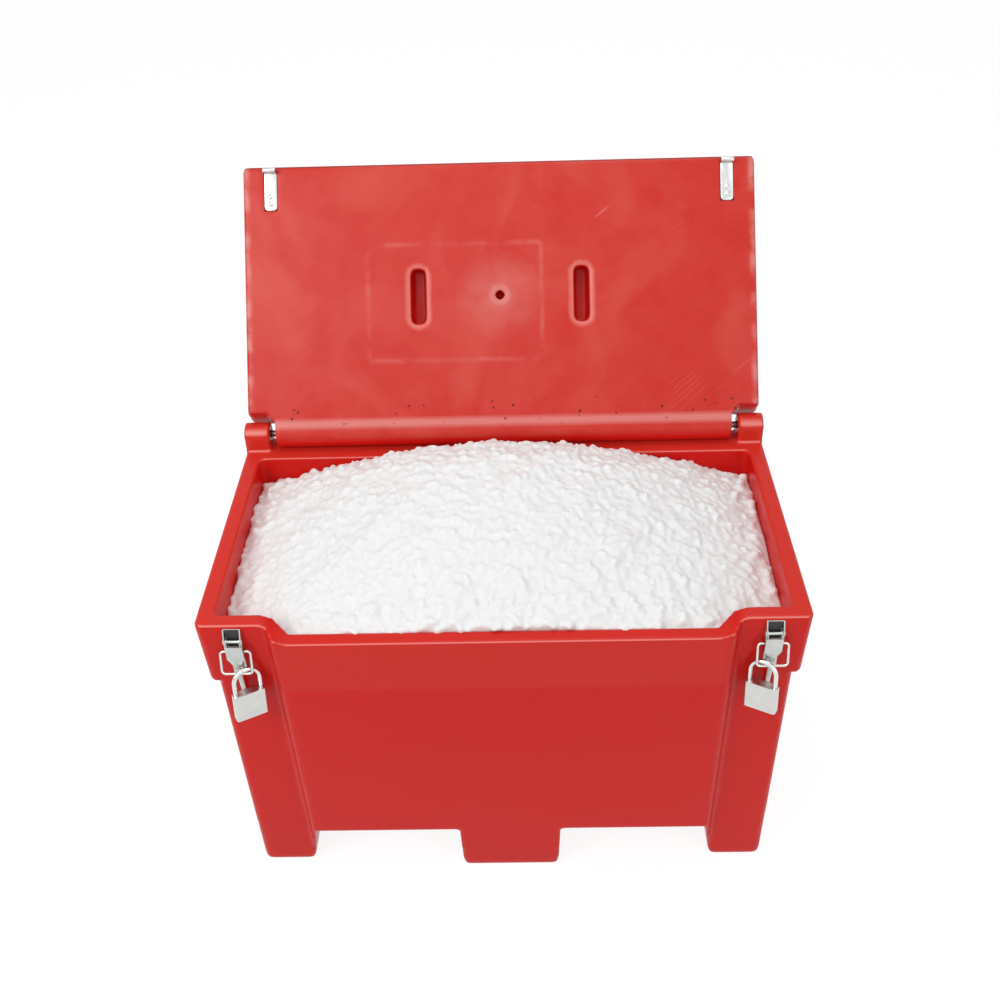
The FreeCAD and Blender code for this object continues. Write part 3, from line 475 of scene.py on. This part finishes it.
# The lid: a second double-skinned moulding, seen from its underside. Two deep kiss-off slots tie
# its skins together, and a small vent lets the mould breathe.
LID_GRAIN = 0.004
LID_THINNING = 0.42
LID_ROUNDING = 2
KNUCKLE_REACH = 0.1
SLOT_FROM_EDGE = 0.246
SLOT_HALF_SPACING = 0.1505
SLOT_HALF_LENGTH = 0.051
SLOT_HALF_WIDTH = 0.0135
SLOT_LEAD_IN = 0.016
SLOT_MOUTH = 0.02
SLOT_ROUNDING = 16
VENT_RADIUS = 0.0085
VENT_MARGIN = 0.0005
VENT_DRAWN_DEPTH = 0.0075
VENT_DEPTH = 0.030
UPRIGHT = 0.5
hinge = next(joint for joint in frame["joints"] if joint["name"] == "lid_hinge")
HINGE_PLACE = Vector(hinge["pos_m"])
LID_OPENING = math.radians(-min(hinge["range_deg"]))
to_closed = Matrix.Rotation(LID_OPENING, 4, "X") @ Matrix.Translation(-HINGE_PLACE)
to_open = to_closed.inverted()

lid_bm = welded("lid")
bmesh.ops.transform(lid_bm, matrix=to_closed, verts=lid_bm.verts)
underside = min(v.co.z for v in lid_bm.verts if v.co.y < -KNUCKLE_REACH)
lid_front = min(v.co.y for v in lid_bm.verts)
vent_place = Vector((0, lid_front + SLOT_FROM_EDGE, underside))


def in_vent(point):
    """Whether the point is on the wall or the mouth of the drawn vent hole."""
    from_vent = (point - vent_place).to_2d().length
    return from_vent < VENT_RADIUS + VENT_MARGIN and point.z < vent_place.z + VENT_DRAWN_DEPTH


def by_slot(point):
    """1 at the mouth of a kiss-off slot, falling to 0 beyond its lead-in."""
    if point.z > underside + SLOT_MOUTH:
        return 0.0
    across = max(0.0, abs(abs(point.x) - SLOT_HALF_SPACING) - SLOT_HALF_WIDTH)
    along = max(0.0, abs(point.y - vent_place.y) - SLOT_HALF_LENGTH)
    return ramp(1 - math.hypot(across, along) / SLOT_LEAD_IN)


tube = [f for f in lid_bm.faces if all(in_vent(v.co) for v in f.verts) and abs(f.normal.z) < UPRIGHT]
bmesh.ops.delete(lid_bm, geom=tube, context="FACES_ONLY")
keep_outer_skin(lid_bm)
rim_edges = [e for e in lid_bm.edges if e.is_boundary]
deeper = bmesh.ops.extrude_edge_only(lid_bm, edges=rim_edges)["geom"]
tube_end = [g for g in deeper if isinstance(g, bmesh.types.BMVert)]
bmesh.ops.translate(lid_bm, vec=(0, 0, VENT_DEPTH), verts=tube_end)
bmesh.ops.holes_fill(lid_bm, edges=[e for e in lid_bm.edges if e.is_boundary], sides=0)
bmesh.ops.recalc_face_normals(lid_bm, faces=lid_bm.faces)
lid = new_piece("lid_moulding", lid_bm)
remesh(lid, LID_GRAIN)
soften(lid, LID_ROUNDING)
apply_modifiers(lid)
choose(lid, "slots", by_slot)
soften(lid, SLOT_ROUNDING, "slots")
add_modifier(lid, "DECIMATE", ratio=LID_THINNING)
apply_modifiers(lid)
lid.vertex_groups.clear()
lid.data.transform(to_open)
shade_smooth(lid)

# The lid's finish: the same plastic, scratched, with pale smears that are partly a painted sheen, pale
# marks about its slots and its vent, a painted highlight along its bend, pale wear with a painted
# highlight along its sides, a pale rectangle, dark chips, a darker front edge and painted shade about
# each strike strap's seat. The marks are placed on the lid as it lies shut.
LID_RED = (0.56, 0.012, 0.007, 1)
LID_WORN = (0.64, 0.085, 0.060, 1)
RED_HALO = (0.76, 0.20, 0.17, 1)
RED_PALE = (0.76, 0.30, 0.27, 1)
RED_CHIPS_AND_SHADE = (0.12, 0.006, 0.005, 1)
LID_GLOSS = 0.28
LID_ROUGHNESS = (0.22, 0.46)
LID_CLOUD_RANGE = (0.6, 1.4)
LID_SCRATCHES = 0.4
RAGGEDNESS = 0.006
GAPS = (0.62, 0.40)
SMEAR_AND_SHEEN_RANGE = (0.66, 0.46)
SMEAR_PALENESS = 0.45
HALO = (SLOT_HALF_WIDTH + 0.0052, SLOT_HALF_WIDTH + 0.013)
HALO_PALENESS = 0.8
SLOT_INSIDE = (underside + 0.005, underside + 0.002)
HAZE = (VENT_RADIUS, 0.085)
HAZE_PALENESS = 0.7
VENT_RING = (0.016, 0.022)
RING_PALENESS = 0.35
OUTLINE_BOX = (-0.083, -0.237, 0.153, 0.100)
OUTLINE_BAND = 0.007
OUTLINE_PALENESS = 0.22
BEND_LINE = -0.016
BEND_WIDTH = (0.003, 0.012)
BEND_PALENESS = 0.6
CHIP_LINE = -0.035
CHIP_SPREAD = (0.010, 0.03)
CHIP_SIZE = (0.10, 0.17)
SIDE_WEAR_AND_HIGHLIGHT = (0.008, 0.016)
SIDE_PALENESS = 0.6
LIP_BAND = (0.002, 0.005)
LIP_DARKNESS = 0.8
STRAP_SEAT = 0.001
STRAP_SHADE_RING = (0.0008, 0.0022)


def make_box_distance():
    """How far a point is outside an upright rectangle of the X-Y plane, 0 inside it."""
    labels = ("X", "Y", "Middle X", "Middle Y", "Half X", "Half Y")
    group, given, out = new_group("box_distance", {label: ("NodeSocketFloat", 0.0) for label in labels},
                                  {"Distance": "NodeSocketFloat"})
    squares = []
    for axis in ("X", "Y"):
        away = apart(group, given.outputs[axis], given.outputs["Middle " + axis])
        beyond = calc(group, "SUBTRACT", away, given.outputs["Half " + axis])
        squares.append(calc(group, "POWER", calc(group, "MAXIMUM", beyond, 0.0), 2.0))
    total = calc(group, "ADD", squares[0], squares[1])
    group.links.new(calc(group, "SQRT", total), out.inputs["Distance"])
    return group


BOX_DISTANCE = make_box_distance()


def away_from(tree, x, y, middle_x, middle_y, half_x=0.0, half_y=0.0):
    """How far x, y is outside a rectangle, or from a point."""
    return use_group(tree, BOX_DISTANCE, {"X": x, "Y": y, "Middle X": middle_x, "Middle Y": middle_y,
                                          "Half X": half_x, "Half Y": half_y})


plate_bm = welded("strike_plate_right")
bmesh.ops.transform(plate_bm, matrix=to_closed, verts=plate_bm.verts)
strap_x = [v.co.x for v in plate_bm.verts if v.co.z > underside - STRAP_SEAT]
strap_y = [v.co.y for v in plate_bm.verts if v.co.z > underside - STRAP_SEAT]
plate_bm.free()
strap_box = ((min(strap_x) + max(strap_x)) / 2, (min(strap_y) + max(strap_y)) / 2,
             (max(strap_x) - min(strap_x)) / 2, (max(strap_y) - min(strap_y)) / 2)
lid_half = max(abs(v.co.x) for v in lid.data.vertices)

lid_red, tree, shader = new_material("lid_red_polyethylene", {"Specular IOR Level": LID_GLOSS})
place = add_node(tree, "ShaderNodeTexCoord").outputs["Object"]
closed = add_node(tree, "ShaderNodeMapping", {"Vector": place, "Location": to_closed.to_translation(),
                                              "Rotation": (LID_OPENING, 0, 0)})
spot = add_node(tree, "ShaderNodeSeparateXYZ", {0: closed.outputs[0]})
spot_x = spot.outputs["X"]
spot_y = spot.outputs["Y"]
either_side = calc(tree, "ABSOLUTE", spot_x)
clouds = use_group(tree, CLOUDS, {"Scale": 4.0})
mottle = use_group(tree, CLOUDS, {"Scale": 22.0})
broken = fade(tree, mottle, *GAPS)
ragged = calc(tree, "SUBTRACT", noise(tree, place, scale=90.0, detail=3.0), NOISE_MIDDLE)
uneven = calc(tree, "MULTIPLY", ragged, RAGGEDNESS)
# Pale streaks: partly smears, partly a painted sheen of the lid's cloudy surface.
streaks = noise(tree, place, scale=4.5, detail=3.0, distortion=1.6)
smears_and_sheen = fade(tree, streaks, *SMEAR_AND_SHEEN_RANGE, SMEAR_PALENESS)
from_slot = away_from(tree, either_side, spot_y, SLOT_HALF_SPACING, vent_place.y,
                      half_y=SLOT_HALF_LENGTH - SLOT_HALF_WIDTH)
halo = fade(tree, calc(tree, "ADD", from_slot, uneven), *HALO, HALO_PALENESS)
in_slot = fade(tree, spot.outputs["Z"], *SLOT_INSIDE)
from_vent = away_from(tree, spot_x, spot_y, 0.0, vent_place.y)
haze = calc(tree, "MULTIPLY", fade(tree, from_vent, *HAZE, HAZE_PALENESS), mottle)
vent_ring = fade(tree, calc(tree, "ADD", from_vent, uneven), *VENT_RING, RING_PALENESS)
from_outline = apart(tree, away_from(tree, spot_x, spot_y, *OUTLINE_BOX), OUTLINE_BAND)
outline = calc(tree, "MULTIPLY", fade(tree, from_outline, 0.0, OUTLINE_BAND, OUTLINE_PALENESS), broken)
# A painted highlight: a pale line along the lid's bend towards the knuckle.
painted_bend_highlight = fade(tree, apart(tree, spot_y, BEND_LINE), *BEND_WIDTH, BEND_PALENESS)
cells = add_node(tree, "ShaderNodeTexVoronoi", {"Vector": place, "Scale": 55.0})
near_bend = fade(tree, apart(tree, spot_y, CHIP_LINE), *CHIP_SPREAD)
chips = calc(tree, "MULTIPLY", fade(tree, cells.outputs["Distance"], *CHIP_SIZE), near_bend)
# Pale along the lid's sides: partly wear, partly a painted highlight of the rounded side edges.
from_side = calc(tree, "SUBTRACT", lid_half, either_side)
worn_and_highlit_side = calc(tree, "MULTIPLY", fade(tree, from_side, *SIDE_WEAR_AND_HIGHLIGHT, SIDE_PALENESS), broken)
# Darker along the lid's front edge.
dark_lip_band = fade(tree, calc(tree, "SUBTRACT", spot_y, lid_front), *LIP_BAND, LIP_DARKNESS)
# Painted shade: a dark ring on the lid about each strike strap's seat, where the gap is in shade.
strap_shade_ring = fade(tree, away_from(tree, either_side, spot_y, *strap_box), *STRAP_SHADE_RING)
scratches = use_group(tree, SCRATCHES, {"Place": flat_place(tree, spot_x, spot_y), "Amount": LID_SCRATCHES})
cloudy_red = mix_colour(tree, calc(tree, "MULTIPLY", clouds, mottle), LID_RED, LID_WORN)
set_colour(tree, shader, cloudy_red,
           ((smears_and_sheen, LID_WORN), (halo, RED_HALO), (haze, RED_PALE), (vent_ring, RED_PALE),
            (outline, RED_PALE), (painted_bend_highlight, RED_PALE), (chips, RED_CHIPS_AND_SHADE), (worn_and_highlit_side, RED_PALE),
            (dark_lip_band, RED_CHIPS_AND_SHADE), (strap_shade_ring, RED_CHIPS_AND_SHADE), (in_slot, RED), (scratches, RED_PALE)))
set_roughness(tree, shader, calc(tree, "ADD", clouds, mottle), *LID_ROUGHNESS, LID_CLOUD_RANGE)
set_bump(tree, shader, noise(tree, place, scale=9.0, detail=2.0), strength=0.35, distance=0.01)
set_material(lid, lid_red)
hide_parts("lid")
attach(lid, "lid")

# The hinge: one plain steel rod through the tub's ears and the lid's knuckle, dull and grimy, held
# at its ends by two pressed caps.
METAL_EDGE = 0.0004
CAP_EDGE = 0.0006
FLAT = math.radians(1)
SHARP = math.radians(30)


def bevelled(node, name, width=METAL_EDGE, segments=2):
    """A drawn piece with its sharp edges broken, as tumbling and plating leave those of metal."""
    bm = welded(node)
    bmesh.ops.dissolve_limit(bm, angle_limit=FLAT, verts=bm.verts, edges=bm.edges)
    edges = [e for e in bm.edges if len(e.link_faces) == 2 and e.calc_face_angle() > SHARP]
    bmesh.ops.bevel(bm, geom=edges, offset=width, offset_type="OFFSET", segments=segments, profile=0.5,
                    affect="EDGES", clamp_overlap=True, material=-1)
    piece = new_piece(name, bm)
    shade_smooth(piece)
    return piece


def make_metal(name, colour, grime, roughness):
    """Metal with a slow change of gloss and dull patches of grime."""
    material, tree, shader = new_material(name, {"Metallic": 1.0})
    clouds = use_group(tree, CLOUDS, {"Scale": 60.0})
    set_colour(tree, shader, colour, ((clouds, grime),))
    set_roughness(tree, shader, clouds, *roughness)
    return material


rod_steel = make_metal("rod_steel", colour=(0.26, 0.24, 0.22, 1), grime=(0.14, 0.10, 0.08, 1),
                       roughness=(0.25, 0.45))
rod = bevelled("hinge_rod", "hinge_steel_rod")
set_material(rod, rod_steel)
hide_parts("hinge_rod")
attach(rod, "tub")
caps = bevelled("hinge_rod_caps", "hinge_push_caps", CAP_EDGE)
set_material(caps, rod_steel)
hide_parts("hinge_rod_caps")
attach(caps, "tub")

# The strike plates: bright zinc-plated straps riveted in shallow seats of the lid's underside,
# their front ends curled up as hooks for the bails.
STRAP_EDGE = 0.0005
RIVET_EDGE = 0.0003
strike_zinc = make_metal("strike_zinc", colour=(0.72, 0.73, 0.72, 1), grime=(0.52, 0.52, 0.50, 1),
                         roughness=(0.28, 0.42))
for hand in ("left", "right"):
    plate = bevelled("strike_plate_" + hand, "strike_strap_" + hand, STRAP_EDGE)
    set_material(plate, strike_zinc)
    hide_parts("strike_plate_" + hand)
    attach(plate, "lid")
strike_rivets = bevelled("strike_rivets", "strike_dome_rivets", RIVET_EDGE)
set_material(strike_rivets, strike_zinc)
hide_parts("strike_rivets")
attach(strike_rivets, "lid")

# The toggle latches: pressed zinc-plated steel. A folded base is riveted to the corner pad, a long
# lever turns on its pin and carries a wire bail, and a black rubber buffer lies in the channel.
BUFFER_EDGE = 0.0005
WIRE_EDGE = 0.0003
BUFFER_BLACK = (0.008, 0.008, 0.008, 1)
BUFFER_DUSTY = (0.03, 0.03, 0.028, 1)
latch_zinc = make_metal("latch_zinc", colour=(0.66, 0.68, 0.66, 1), grime=(0.48, 0.50, 0.48, 1),
                        roughness=(0.25, 0.42))
bail_bright = make_metal("bail_bright_wire", colour=(0.80, 0.79, 0.76, 1), grime=(0.62, 0.61, 0.58, 1),
                         roughness=(0.15, 0.28))
buffer_black, tree, shader = new_material("buffer_rubber", {"Roughness": 0.55})
set_colour(tree, shader, BUFFER_BLACK, ((use_group(tree, CLOUDS, {"Scale": 90.0}), BUFFER_DUSTY),))
for hand in ("left", "right"):
    parts = {"latch_base_": ("latch_channel_", "tub", latch_zinc, "latch_zinc", METAL_EDGE),
             "latch_rivets_": ("latch_dome_rivets_", "tub", latch_zinc, "latch_zinc", RIVET_EDGE),
             "latch_pin_": ("latch_cross_pin_", "tub", latch_zinc, "latch_zinc", METAL_EDGE),
             "latch_buffer_": ("latch_pad_", "tub", buffer_black, "buffer_rubber", BUFFER_EDGE),
             "latch_lever_": ("latch_handle_", "lever_" + hand, latch_zinc, "latch_zinc", METAL_EDGE),
             "latch_bail_": ("latch_wire_", "bail_" + hand, bail_bright, "latch_zinc", WIRE_EDGE)}
    for node, (name, body, material, slot, width) in parts.items():
        piece = bevelled(node + hand, name + hand, width)
        set_material(piece, material)
        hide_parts(node + hand)
        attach(piece, body)

# The padlocks: a plated solid body, a hardened chromed shackle and a brass key plug in its foot.
# Each hangs from the bail of its latch.
CASE_EDGE = 0.0012
PLUG_EDGE = 0.0003
LOCK_SEGMENTS = 3
lock_chrome = make_metal("shackle_chrome", colour=(0.82, 0.82, 0.81, 1), grime=(0.65, 0.65, 0.63, 1),
                         roughness=(0.10, 0.22))
lock_satin = make_metal("lock_satin_plate", colour=(0.70, 0.70, 0.68, 1), grime=(0.58, 0.58, 0.56, 1),
                        roughness=(0.28, 0.40))
plug_brass = make_metal("plug_brass", colour=(0.72, 0.52, 0.20, 1), grime=(0.50, 0.34, 0.12, 1),
                        roughness=(0.25, 0.40))
for hand in ("left", "right"):
    parts = {"padlock_shackle_": ("lock_bow_", "shackle_" + hand, lock_chrome, "shackle_steel", METAL_EDGE),
             "padlock_body_": ("lock_case_", "lock_body_" + hand, lock_satin, "lock_steel", CASE_EDGE),
             "padlock_key_plug_": ("lock_plug_", "key_plug_" + hand, plug_brass, "plug_brass", PLUG_EDGE)}
    for node, (name, body, material, slot, width) in parts.items():
        piece = bevelled(node + hand, name + hand, width, LOCK_SEGMENTS)
        set_material(piece, material)
        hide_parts(node + hand)
        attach(piece, body)

# The salt: a heap of coarse white rock salt poured into the tub, lumps of about 10 to 25 mm caked
# together, the largest along the walls.
salt_low, salt_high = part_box("salt_load")
SALT_SEED = 11
SALT_GRAIN = 0.0035
SALT_THINNING = 0.75
HEAP_CUT = 0.50
ABOVE_HEAP = 1.0
STEEPEST = 0.2
CRYSTAL_POINTS = 20
CRYSTAL_REACH = (0.8, 1.0)
LUMP_SHAPES = 18
LUMP_BATCHES = 6
LUMP_STEP = 0.0105
LUMP_JITTER = (0.1, 0.9)
LUMP_SIZES = (0.0058, 0.0110)
LUMP_SIZE_BIAS = 1.5
LUMP_STRETCH = ((0.8, 1.25), (0.8, 1.1))
LUMP_SINK = (0.0, 0.5)
WALL_ROWS = 0.045
WALL_LUMP = 1.2
WALL_SINK = (-0.1, 0.5)
SALT_SHADED = (0.76, 0.775, 0.77, 1)
SALT_BRIGHT = (0.84, 0.85, 0.845, 1)
SALT_LIGHT_DEPTH = 0.006
chance = random.Random(SALT_SEED)
heap_bm = welded("salt_load")
bmesh.ops.bisect_plane(heap_bm, geom=heap_bm.verts[:] + heap_bm.edges[:] + heap_bm.faces[:],
                       plane_co=(0, 0, HEAP_CUT), plane_no=(0, 0, 1), clear_inner=True)
bmesh.ops.holes_fill(heap_bm, edges=[e for e in heap_bm.edges if e.is_boundary], sides=0)
bmesh.ops.recalc_face_normals(heap_bm, faces=heap_bm.faces)
surface = BVHTree.FromBMesh(heap_bm)


def crystal():
    """An angular crystal, about 1 from its middle to its corners: the hull of points about a ball."""
    bm = bmesh.new()
    for _ in range(CRYSTAL_POINTS):
        way = Vector([chance.gauss(0, 1) for _ in range(3)]).normalized()
        bmesh.ops.create_vert(bm, co=way * chance.uniform(*CRYSTAL_REACH))
    bmesh.ops.convex_hull(bm, input=bm.verts)
    loose = [v for v in bm.verts if not v.link_faces]
    bmesh.ops.delete(bm, geom=loose, context="VERTS")
    data = bpy.data.meshes.new("crystal")
    bm.to_mesh(data)
    bm.free()
    return data


crystals = [crystal() for _ in range(LUMP_SHAPES)]
batches = [bmesh.new() for _ in range(LUMP_BATCHES)]


def drop_lump(x, y, size, sink):
    """Add one lump to a batch, on the heap's surface at x, y, turned and stretched at random."""
    hit, normal, _, _ = surface.ray_cast(Vector((x, y, ABOVE_HEAP)), Vector((0, 0, -1)))
    if hit is None or normal.z < STEEPEST:
        return
    turn = Quaternion([chance.gauss(0, 1) for _ in range(4)]).normalized()
    stretch = Matrix.Diagonal([size * chance.uniform(*share) for share in LUMP_STRETCH] + [size, 1])
    place = Matrix.Translation(hit - Vector((0, 0, sink * size)))
    bm = batches[chance.randrange(LUMP_BATCHES)]
    before = len(bm.verts)
    bm.from_mesh(crystals[chance.randrange(LUMP_SHAPES)])
    bm.verts.ensure_lookup_table()
    bmesh.ops.transform(bm, matrix=place @ turn.to_matrix().to_4x4() @ stretch, verts=bm.verts[before:])


columns = int((salt_high.x - salt_low.x) / LUMP_STEP)
rows = int((salt_high.y - salt_low.y) / LUMP_STEP)
for column in range(columns):
    for row in range(rows):
        x = salt_low.x + (column + chance.uniform(*LUMP_JITTER)) * LUMP_STEP
        y = salt_low.y + (row + chance.uniform(*LUMP_JITTER)) * LUMP_STEP
        size = LUMP_SIZES[0] + (LUMP_SIZES[1] - LUMP_SIZES[0]) * chance.random() ** LUMP_SIZE_BIAS
        from_wall = min(x - salt_low.x, salt_high.x - x, y - salt_low.y, salt_high.y - y)
        if from_wall < WALL_ROWS:
            drop_lump(x, y, size * WALL_LUMP, chance.uniform(*WALL_SINK))
        else:
            drop_lump(x, y, size, chance.uniform(*LUMP_SINK))
for bm in batches:
    batch = bpy.data.meshes.new("lumps")
    bm.to_mesh(batch)
    bm.free()
    heap_bm.from_mesh(batch)
salt = new_piece("salt_heap", heap_bm)
remesh(salt, SALT_GRAIN)
add_modifier(salt, "DECIMATE", ratio=SALT_THINNING)
apply_modifiers(salt)
shade_smooth(salt)
salt_white, tree, shader = new_material("salt_white", {"Roughness": 0.6, "Subsurface Weight": 0.6,
                                                       "Subsurface Radius": (SALT_LIGHT_DEPTH,) * 3,
                                                       "Subsurface Scale": 1.0})
set_colour(tree, shader, SALT_SHADED, ((use_group(tree, CLOUDS, {"Scale": 40.0}), SALT_BRIGHT),))
set_material(salt, salt_white)
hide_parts("salt_load")
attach(salt, "tub")
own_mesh(salt)
